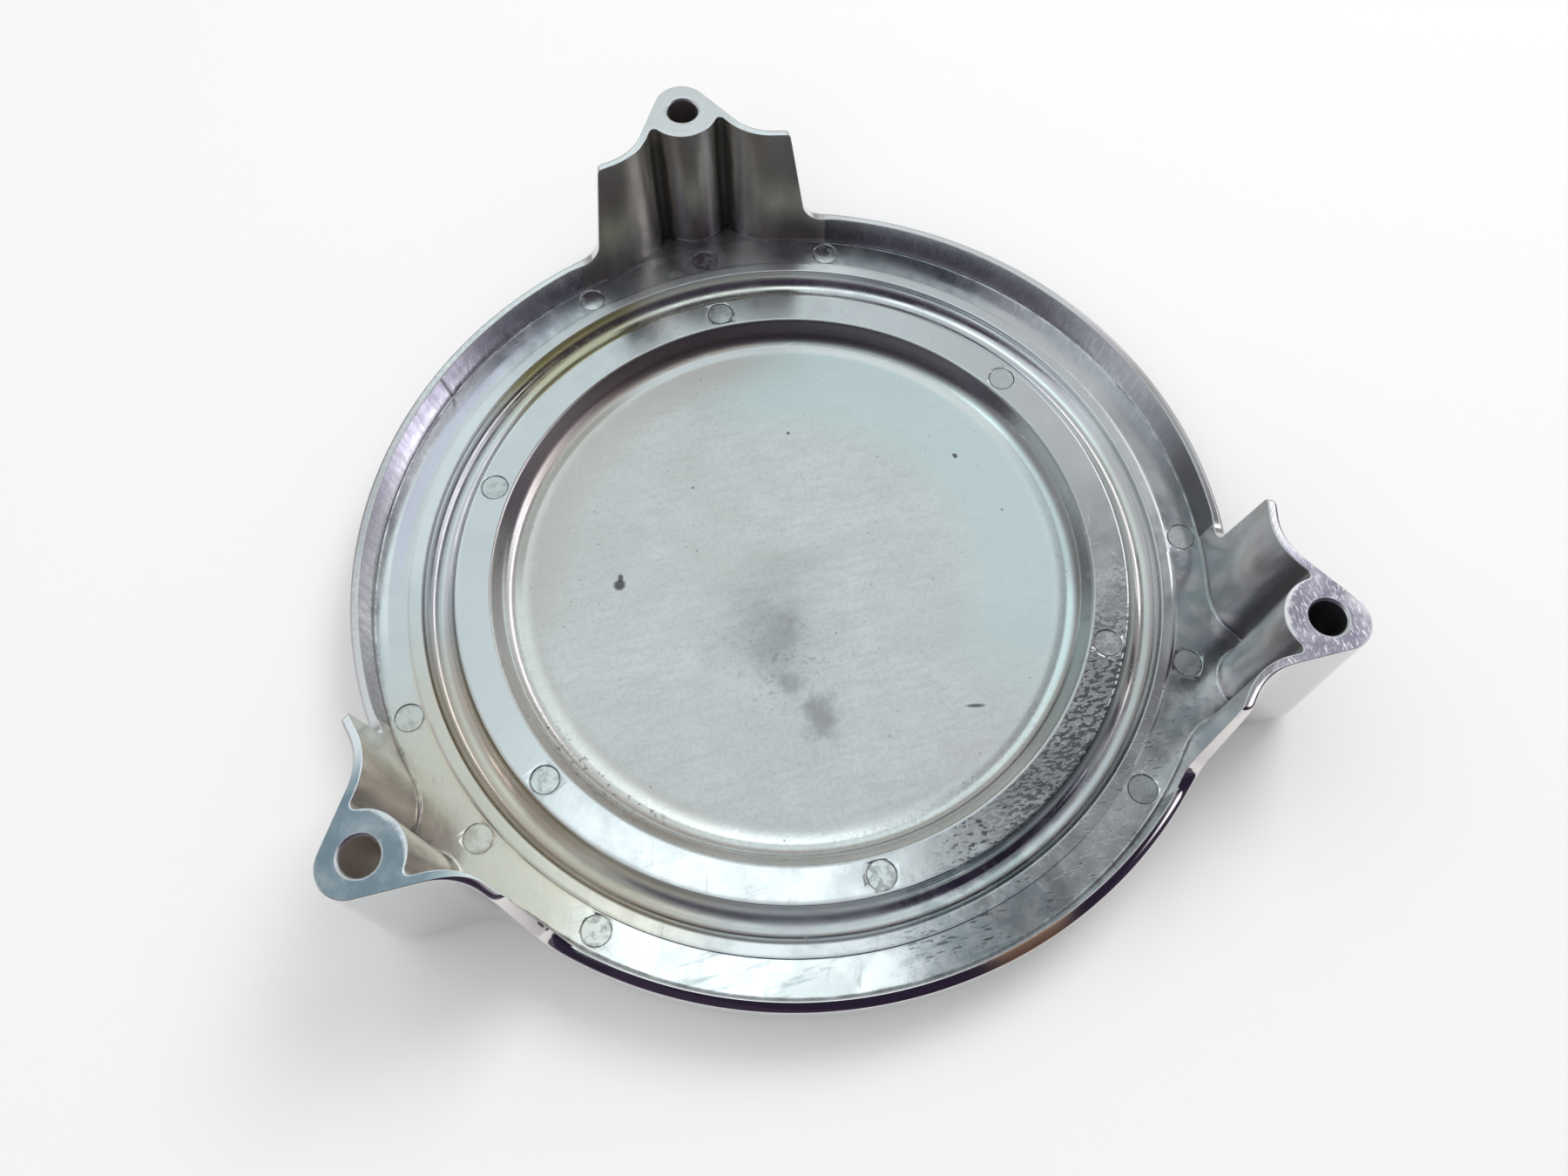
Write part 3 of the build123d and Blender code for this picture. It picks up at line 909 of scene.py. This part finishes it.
# The sunk dish: the same plating over a coarser, wiped surface.
look = {
    "roughness": 0.5,
    "wallRoughness": 0.2,
    "base": (0.92, 0.935, 0.92),
    "dull": (0.78, 0.79, 0.765),
    "pale": (0.78, 0.93, 0.92),
    "beige": (0.76, 0.71, 0.66),
    "brown": (0.20, 0.15, 0.12),
    "shade": (0.30, 0.28, 0.28),
    "rust": (0.60, 0.48, 0.40),
    "bright": (0.99, 1.0, 1.0),
    "scratch": (0.9, 0.95, 0.95),
    "nearBlack": (0.06, 0.06, 0.06),
    "sectors": (
        (25, 50, 35, 44, 57, 16, 0.7, "pale"), (130, 35, 25, 53, 57, 10, 0.7, "beige"),
        (140, 20, 16, 55.6, 56.5, 0.6, 0.5, "brown"), (212, 20, 18, 55, 60, 4, 0.6, "beige"),
        (80, 32, 26, 58.4, 62, 1.6, 0.6, "brown"), (74, 30, 20, 56.4, 59.5, 0.8, 0.7, "shade"),
        (142, 22, 22, 59.6, 62, 1.2, 0.3, "brown"), (2, 14, 10, 56.8, 59.5, 0.8, 0.35, "shade"),
        (195, 30, 20, 59.8, 62, 1.0, 0.25, "brown"), (6, 20, 16, 58.6, 62, 1.2, 0.85, "shade"),
        (325, 14, 14, 58.8, 62, 1.0, 0.4, "shade"), (66, 38, 22, 55.0, 56.4, 0.7, 0.8, "bright"),
        (116, 24, 18, 57.2, 59.6, 0.8, 0.4, "rust"),
    ),
    "stains": (  # x, y, radius, soft edge, stretch, lean, share
        (-35.1, 5.5, 1.5, 0.5, 1.0, 0, 0.85), (-34.6, 7.0, 0.7, 0.5, 1.6, 70, 0.8),
        (-2.7, -31.7, 5.0, 0.9, 1.5, 80, 0.42), (-8.3, -13.9, 8.0, 0.9, 1.5, 60, 0.28),
        (-3, -8, 20.0, 0.95, 1.0, 0, 0.16), (27.6, -37.2, 0.5, 0.6, 5.0, -12, 0.8),
        (7.6, 32.5, 0.5, 0.5, 1.0, 0, 0.8), (41.2, 18.1, 0.65, 0.5, 1.3, 120, 0.85),
        (-15.6, 24.2, 0.4, 0.5, 1.0, 0, 0.6), (46.8, 3.0, 0.4, 0.5, 1.0, 0, 0.5),
        (-6.0, -24.0, 4.0, 0.9, 1.0, 0, 0.3),
    ),
    "grain": 0.006,
}
tree, shader = metal("dish", look)
patch = clouds(tree, 0.13, 0.52, 0.16, 33)
fine = clouds(tree, 0.9, 0.55, 0.2, 35)
wide = clouds(tree, 0.035, 0.52, 0.16, 31)
wiped = specks(tree, 0.7, 0.42, 0.25, 0.18, 37)
colour = (*look["base"], 1)
for mask, share in ((wide, 0.6), (patch, 0.35), (fine, 0.4), (wiped, 0.55)):
    colour = paint(tree, colour, mask, share, look["dull"])
grain = clouds(tree, 1.3, 0.55, 0.07, 39)
colour = paint(tree, colour, grain, 0.1, look["shade"])
# The shade sectors and the brown one on the lip wall at 80 degrees are painted shade; the bright one at 66
# degrees is a painted highlight.
colour = paintSectors(tree, colour, look, "sectors")
flecks = times(tree, sector(tree, 214, 12, 8, 56.5, 60, 0.8),
               specks(tree, 0.8, 0.58, 0.05, 1.0, 3))
colour = paint(tree, colour, flecks, 0.7, look["brown"])
for x, y, radius, edge, drawnOut, lean, share in look["stains"]:
    ragged = 0.8 if radius > 3 else 0.3
    spot = use(tree, spotTree, X=x, Y=y, Radius=radius, Edge=edge, Stretch=drawnOut, Lean=lean, Ragged=ragged)
    colour = paint(tree, colour, spot, share, look["nearBlack"])
grimy = times(tree, use(tree, spotTree, X=-6, Y=-19, Radius=19.0, Edge=0.95),
              specks(tree, 0.9, 0.58, 0.06, 0.7, 9))
colour = paint(tree, colour, grimy, 0.35, look["brown"])
pits = times(tree, use(tree, pitTree, Scale=0.4, Size=0.1, Cover=0.45, Seed=8), patch)
colour = paint(tree, colour, pits, 0.6, look["nearBlack"])
lines = scratches(tree, 0.3, 0.5, 14)
colour = paint(tree, colour, lines, 0.3, look["scratch"])
wall = times(tree, sector(tree, 0, 181, 1, 56.0, 70, 3.0), look["roughness"] - look["wallRoughness"])
rough = minus(tree, minus(tree, look["roughness"], wall), times(tree, lines, 0.12))
dulled = sector(tree, 92, 40, 22, 56.0, 70, 3.0)
finish(tree, shader, colour, plus(tree, rough, times(tree, dulled, 0.16)))
relief(tree, shader, plus(tree, fine, times(tree, lines, 0.4)), look["grain"])

# Walls of the ears' pockets.
look = {
    "roughness": 0.2,
    "base": (0.3, 0.3, 0.31),
    "topEar": (0.74, 0.71, 0.60),
    "leftEar": (0.88, 0.83, 0.77),
    "rightEar": (0.70, 0.66, 0.67),
    "brown": (0.44, 0.40, 0.36),
    "bright": (0.97, 0.95, 0.91),
    "nearBlack": (0.035, 0.033, 0.033),
    "ears": (
        (90, 25, 5, 80, 110, 1, 1.0, "topEar"), (210, 25, 5, 80, 110, 1, 1.0, "leftEar"),
        (330, 25, 5, 80, 110, 1, 1.0, "rightEar"),
    ),
    "glints": (
        (83.2, 0.4, 0.8, 84, 110, 1, 0.6, "bright"), (87.4, 0.4, 0.8, 84, 110, 1, 0.9, "bright"),
        (92.3, 0.15, 0.8, 84, 110, 1, 0.6, "bright"), (96.2, 0.2, 0.8, 84, 110, 1, 0.6, "bright"),
    ),
    "lessShade": ((90, 0.15), (210, 0.9), (330, 0.4)),  # the share of the painted shade that each ear lacks
    "grain": 0.006,
}
tree, shader = metal("pocket", look)
# Each ear's walls get their own tone, partly patina and partly painted light and shade.
colour = paintSectors(tree, (*look["base"], 1), look, "ears")
streak = streaks(tree, 0.22, 0.5, 0.12, 2)
colour = paint(tree, colour, streak, 0.4, look["brown"])
patch = clouds(tree, 0.3, 0.55, 0.1, 17)
colour = paint(tree, colour, patch, 0.12, look["base"])
# Painted shade in the hollows beside each boss and a little along the foot, most of it at the top ear.
hollowShade = paintedShadeAndSheen(tree, 0.8, 0.1, 0.0, 0.08, 6)
for turn, share in look["lessShade"]:
    hollowShade = times(tree, hollowShade, minus(tree, 1.0, times(tree, wallSector(tree, turn, 25, 5), share)))
colour = paint(tree, colour, hollowShade, 0.85, look["nearBlack"])
colour = paintSectors(tree, colour, look, "glints")
rough = plus(tree, times(tree, patch, 0.05), look["roughness"])
rough = plus(tree, rough, times(tree, wallSector(tree, 90, 25, 5), 0.08))
finish(tree, shader, colour, plus(tree, rough, times(tree, hollowShade, 0.35)))
relief(tree, shader, cloudHeight(tree, 0.4, 19), look["grain"])

# Inner wall of the rim between the ears.
look = {
    "roughness": 0.2,
    "base": (0.95, 0.94, 0.97),
    "dull": (0.66, 0.65, 0.69),
    "dark": (0.25, 0.245, 0.25),
    "nearBlack": (0.08, 0.08, 0.09),
    "sectors": (
        (330, 28, 14, 80, 90, 1, 1.0, "dark"), (86, 16, 12, 80, 90, 1, 0.85, "dark"),
        (180, 20, 14, 80, 90, 1, 0.75, "dark"),
    ),
    "flaw": ((-60.2, 58.3, 0.55, 50), (-61.6, 57.2, 0.45, -20)),  # x, y, radius, lean of its two strokes
    "grain": 0.04,
}
tree, shader = metal("rimWall", look)
mottle = streaks(tree, 1.1, 0.5, 0.2, 23)
patch = clouds(tree, 0.2, 0.5, 0.12, 24)
colour = paint(tree, (*look["base"], 1), mottle, 0.45, look["dull"])
colour = paint(tree, colour, patch, 0.3, look["dull"])
# The dark sectors are painted shade.
colour = paintSectors(tree, colour, look, "sectors")
# Painted shade along the wall's foot.
colour = paint(tree, colour, paintedShadeAndSheen(tree, 0, 0.25, 0, 0.35, 25), 0.5, look["nearBlack"])
strokes = [use(tree, spotTree, X=x, Y=y, Radius=radius, Edge=0.5, Stretch=4.0, Lean=lean)
           for x, y, radius, lean in look["flaw"]]
colour = paint(tree, colour, calc(tree, "MAXIMUM", *strokes), 0.7, look["nearBlack"])
finish(tree, shader, colour, plus(tree, times(tree, mottle, 0.12), look["roughness"]))
relief(tree, shader, cloudHeight(tree, 0.6, 27), look["grain"])

# Milled ends of the ears.
look = {
    "roughness": 0.28,
    "base": (0.93, 0.93, 0.93),
    "dull": (0.78, 0.78, 0.80),
    "blue": (0.22, 0.29, 0.34),
    "mauve": (0.22, 0.21, 0.27),
    "wingShade": (0.44, 0.43, 0.48),
    "bright": (0.96, 0.96, 0.96),
    "ears": ((210, "blue"), (330, "mauve")),
    "wings": ((341, 4, 3, 80, 110, 1, 0.55, "wingShade"), (318.5, 2.5, 3, 80, 110, 1, 0.55, "wingShade")),
    "buffed": 0.18,  # how much smoother the skirts' ends are
    "grain": 0.008,
}
tree, shader = metal("pad", look)
milled = use(tree, millTree, outlet="Value", Lean=0.7, Scale=2.2, Seed=1)
colour = paint(tree, (*look["base"], 1), remap(tree, milled, 0.45, 0.62), 0.25, look["dull"])
# The left and right ears' pads are painted blue and mauve as painted reflection.
for turn, name in look["ears"]:
    dull = clouds(tree, 0.2, 0.38, 0.2, turn)
    dull = times(tree, wallSector(tree, turn, 5.5, 5), plus(tree, times(tree, dull, 0.35), 0.62))
    colour = paint(tree, colour, dull, 1.0, look[name])
    at = axisPoint(turn, casting["boltRadius"]) / mm
    rubbed = use(tree, spotTree, X=at.x, Y=at.y, Radius=4.1, Edge=0.4, Ragged=0.6)
    colour = paint(tree, colour, rubbed, 0.45, look["base"])
shiny = times(tree, wallSector(tree, 330, 20, 5),
              specks(tree, 0.7, 0.52, 0.1, 4.0, 6))
colour = paint(tree, colour, shiny, 0.65, look["base"])
# A painted highlight at the outer tip of the right ear.
at = axisPoint(333, casting["boltRadius"] + 7) / mm
colour = paint(tree, colour, use(tree, spotTree, X=at.x, Y=at.y, Radius=6.0, Edge=0.9), 0.6, look["base"])
# The right ear's wing tops are painted darker as painted shade.
colour = paintSectors(tree, colour, look, "wings")
# Edges painted bright, as rubbed metal and as a painted highlight.
edge = paintedShadeAndSheen(tree, 0.0, 0.0, 0.75, 0.5, 62)
colour = paint(tree, colour, edge, 0.8, look["bright"])
rough = plus(tree, times(tree, milled, 0.15), look["roughness"] - 0.07)
for turn in casting["earAngles"]:
    for side in (-11, 11):
        rough = minus(tree, rough, times(tree, wallSector(tree, turn + side, 3, 3), look["buffed"]))
finish(tree, shader, colour, rough)
relief(tree, shader, milled, look["grain"])

# Bright cut edge round each screw hole.
tree, shader = metal("chamfer", {"roughness": 0.3, "base": (0.8, 0.8, 0.8)})
relief(tree, shader, cloudHeight(tree, 3.0, 2), 0.05)

# Buffed outside: the front, the outer wall and the top of the rim.
look = {
    "roughness": 0.06,
    "base": (0.74, 0.75, 0.76),
    "dim": (0.58, 0.58, 0.58),
}
for name in ("front", "outer"):
    tree, shader = metal(name, look)
    lines = scratches(tree, 0.4, 0.5, 40)
    finish(tree, shader, rough=plus(tree, times(tree, lines, 0.2), look["roughness"]))
# The outer wall by the right ear is painted dimmer as painted shade.
finish(tree, shader, paint(tree, (*look["base"], 1), wallSector(tree, 330, 14, 8), 0.8, look["dim"]))

look = {
    "roughness": 0.06,
    "base": (0.77, 0.73, 0.72),
    "bright": (0.95, 0.95, 0.95),
    "grey": (0.5, 0.5, 0.5),
    "dim": (0.45, 0.45, 0.45),
    "tan": (0.62, 0.40, 0.27),
    "lilac": (0.5, 0.49, 0.54),
    "sectors": (
        (46, 16, 9, 83, 90, 1, 0.9, "bright"), (126, 12, 9, 83, 90, 1, 0.7, "bright"),
        (2, 11, 8, 83, 90, 1, 0.7, "dim"), (160, 4, 7, 83, 90, 1, 0.45, "dim"),
        (334, 8, 8, 83, 90, 1, 0.6, "dim"), (231, 2, 3, 83, 90, 1, 0.8, "grey"),
    ),
}
tree, shader = metal("land", look)
# The bright sectors are painted highlight; the dim and grey ones are painted shade.
colour = paintSectors(tree, (*look["base"], 1), look, "sectors")
# A tan patch on the crest, painted as a reflection.
tan = sector(tree, 284, 2.5, 7, 84, 90)
colour = paint(tree, colour, tan, 1.0, look["tan"])
# Mottled lilac on the land at the upper left as painted reflection.
mottle = streaks(tree, 1.1, 0.5, 0.2, 23)
lilac = times(tree, sector(tree, 150, 22, 14, 84, 90), mottle)
colour = paint(tree, colour, lilac, 0.5, look["lilac"])
# Edges painted bright, as rubbed metal and as a painted highlight.
edge = paintedShadeAndSheen(tree, 0.0, 0.0, 0.75, 0.5, 61)
colour = paint(tree, colour, edge, 0.8, look["bright"])
rough = plus(tree, times(tree, edge, 0.5), look["roughness"])
finish(tree, shader, colour, plus(tree, rough, times(tree, tan, 0.42)))

# Screw holes, painted lighter at the left ear and darker at the right ear as painted light and shade.
look = {
    "roughness": 0.5,
    "base": (0.5, 0.46, 0.44),
    "light": (0.95, 0.88, 0.82),
    "dark": (0.25, 0.24, 0.28),
    "ears": ((210, 20, 5, 80, 110, 1, 1.0, "light"), (330, 20, 5, 80, 110, 1, 1.0, "dark")),
}
tree, shader = metal("bore", look)
finish(tree, shader, paintSectors(tree, (*look["base"], 1), look, "ears"))

# Ejector pin marks: a dark ring painted in the groove round each, and a face like the ring round it.
look = {
    "roughness": 0.2,
    "base": (0.66, 0.68, 0.68),
    "dull": (0.42, 0.44, 0.44),
    "nearBlack": (0.04, 0.04, 0.045),
    "gold": (0.70, 0.64, 0.52),
    "dark": (0.34, 0.36, 0.36),
    "light": (0.97, 0.97, 0.97),
    "sectors": (
        (210, 12, 16, 77, 90, 1, 0.6, "gold"), (320, 35, 10, 77, 90, 1, 0.35, "dark"),
        (88, 32, 10, 77, 90, 1, 0.6, "light"),
    ),
}
tree, shader = metal("pinMark", look)
patch = clouds(tree, 0.6, 0.55, 0.1, 51)
colour = paint(tree, (*look["base"], 1), patch, 0.4, look["dull"])
height = axesOf(tree, objectPoint(tree))[2]
low = remap(tree, height, casting["ringFloor"] - 0.23, casting["ringFloor"] - 0.13, 1.0, 0.0)
gate = clouds(tree, 0.3, 0.5, 0.16, 53)
colour = paint(tree, colour, times(tree, low, gate), 0.85, look["nearBlack"])
# The dark sector at 320 degrees is painted shade and the light one at 88 degrees painted light; the gold is
# patina.
colour = paintSectors(tree, colour, look, "sectors")
finish(tree, shader, colour, plus(tree, times(tree, patch, 0.2), look["roughness"]))

for name in finishes:
    castingMesh.materials.append(materials[name])
print("materials made")

# Table, light and camera.
table = {"size": 6.0, "colour": (0.86, 0.86, 0.86), "roughness": 0.6, "specular": 0.2}
floorMesh = bpy.data.meshes.new("table")
reach = table["size"] / 2
corners = [(-reach, -reach, 0), (reach, -reach, 0), (reach, reach, 0), (-reach, reach, 0)]
floorMesh.from_pydata(corners, [], [(0, 1, 2, 3)])
tableTop = bpy.data.objects.new("table", floorMesh)
bpy.context.scene.collection.objects.link(tableTop)
material = bpy.data.materials.new("table")
material.use_nodes = True
shader = material.node_tree.nodes["Principled BSDF"]
shader.inputs["Base Color"].default_value = (*table["colour"], 1)
shader.inputs["Roughness"].default_value = table["roughness"]
shader.inputs["Specular IOR Level"].default_value = table["specular"]
floorMesh.materials.append(material)

room = {
    "white": (0.9, 0.9, 0.89, 1),
    "fill": (0.58, 0.58, 0.58, 1),  # what soft surfaces get from the room
    "ceiling": (0.74, 0.85, 0.87, 1),
}
panels = (  # middle and half size where X and Y are the slope of the line of sight, slant, soft edge, colour
    ((1.2, 0.6), (0.75, 3.0), 0.0, 0.25, (0.58, 0.60, 0.62)),
    ((-1.6, 0.6), (1.0, 3.0), 0.0, 0.4, (0.58, 0.60, 0.64)),
    ((0.0, 2.4), (3.0, 1.0), 0.0, 0.4, (0.40, 0.39, 0.38)),
    ((0.0, -10.2), (20.0, 9.9), 0.0, 0.2, (0.12, 0.11, 0.145)),
    ((11.0, -5.0), (9.0, 5.5), 0.0, 0.4, (0.12, 0.11, 0.145)),
    ((0.2, -10.4), (1.4, 10.1), -0.3, 0.3, (0.04, 0.03, 0.055)),
    ((0.1, -10.1), (0.5, 10.0), -0.35, 0.1, (0.025, 0.018, 0.04)),
    ((1.2, -0.1), (0.25, 0.3), 0.0, 0.15, (1.6, 1.56, 1.72)),
    ((0.37, 0.23), (0.16, 0.16), 0.0, 0.12, (0.24, 0.24, 0.26)),
    ((0.01, 0.18), (0.11, 0.11), 0.0, 0.06, (1.45, 1.6, 1.62)),
    ((0.62, 0.5), (0.08, 0.42), 0.23, 0.05, (2.2, 2.2, 2.3)),
)
world = bpy.data.worlds.new("room")
bpy.context.scene.world = world
world.use_nodes = True
tree = world.node_tree
background = tree.nodes["Background"]
path = tree.nodes.new("ShaderNodeLightPath")
axes = axesOf(tree, tree.nodes.new("ShaderNodeTexCoord").outputs["Generated"])
up = calc(tree, "MAXIMUM", axes[2], 0.05)
slopeX, slopeY = calc(tree, "DIVIDE", axes[0], up), calc(tree, "DIVIDE", axes[1], up)
seen = room["ceiling"]
for (x, y), (halfX, halfY), slant, soft, colour in panels:
    aside = minus(tree, minus(tree, slopeX, x), times(tree, slopeY, slant))
    within = remap(tree, calc(tree, "ABSOLUTE", aside), halfX, halfX + soft, 1.0, 0.0)
    along = remap(tree, calc(tree, "ABSOLUTE", minus(tree, slopeY, y)), halfY, halfY + soft, 1.0, 0.0)
    seen = blendColour(tree, times(tree, within, along), seen, (*colour, 1))
visible = calc(tree, "MAXIMUM", path.outputs["Is Glossy Ray"], path.outputs["Is Transmission Ray"])
shown = blendColour(tree, visible, room["fill"], seen)
shown = blendColour(tree, path.outputs["Is Camera Ray"], shown, room["white"])
tree.links.new(shown, background.inputs["Color"])
background.inputs["Strength"].default_value = 1.0

lamps = {  # place and size in metres, watts
    "softBox": ((0.6, 0.45, 0.9), 0.55, 5.8),
    "left": ((-0.5, 0.3, 0.9), 0.9, 2.2),
    "near": ((-0.35, -0.6, 0.8), 0.8, 1.6),
}
for name, (position, size, watts) in lamps.items():
    light = bpy.data.lights.new(name, "AREA")
    light.size = size
    light.energy = watts
    lamp = bpy.data.objects.new(name, light)
    lamp.location = position
    lamp.rotation_euler = Vector(position).to_track_quat("Z", "Y").to_euler()
    lamp.visible_glossy = False
    bpy.context.scene.collection.objects.link(lamp)

view = {  # millimetres and degrees
    "lens": 26.02,
    "place": (-27.31, -97.17, 213.99),
    "angles": (24.653, -0.218, -14.330),
}
cameraData = bpy.data.cameras.new("camera")
cameraData.lens = view["lens"]
cameraData.sensor_width = 36.0
cameraData.clip_start = 0.01
camera = bpy.data.objects.new("camera", cameraData)
camera.location = Vector(view["place"]) * mm
camera.rotation_euler = [math.radians(a) for a in view["angles"]]
bpy.context.scene.collection.objects.link(camera)
bpy.context.scene.camera = camera
bpy.context.scene.view_settings.view_transform = "Standard"
print("table, light and camera made")
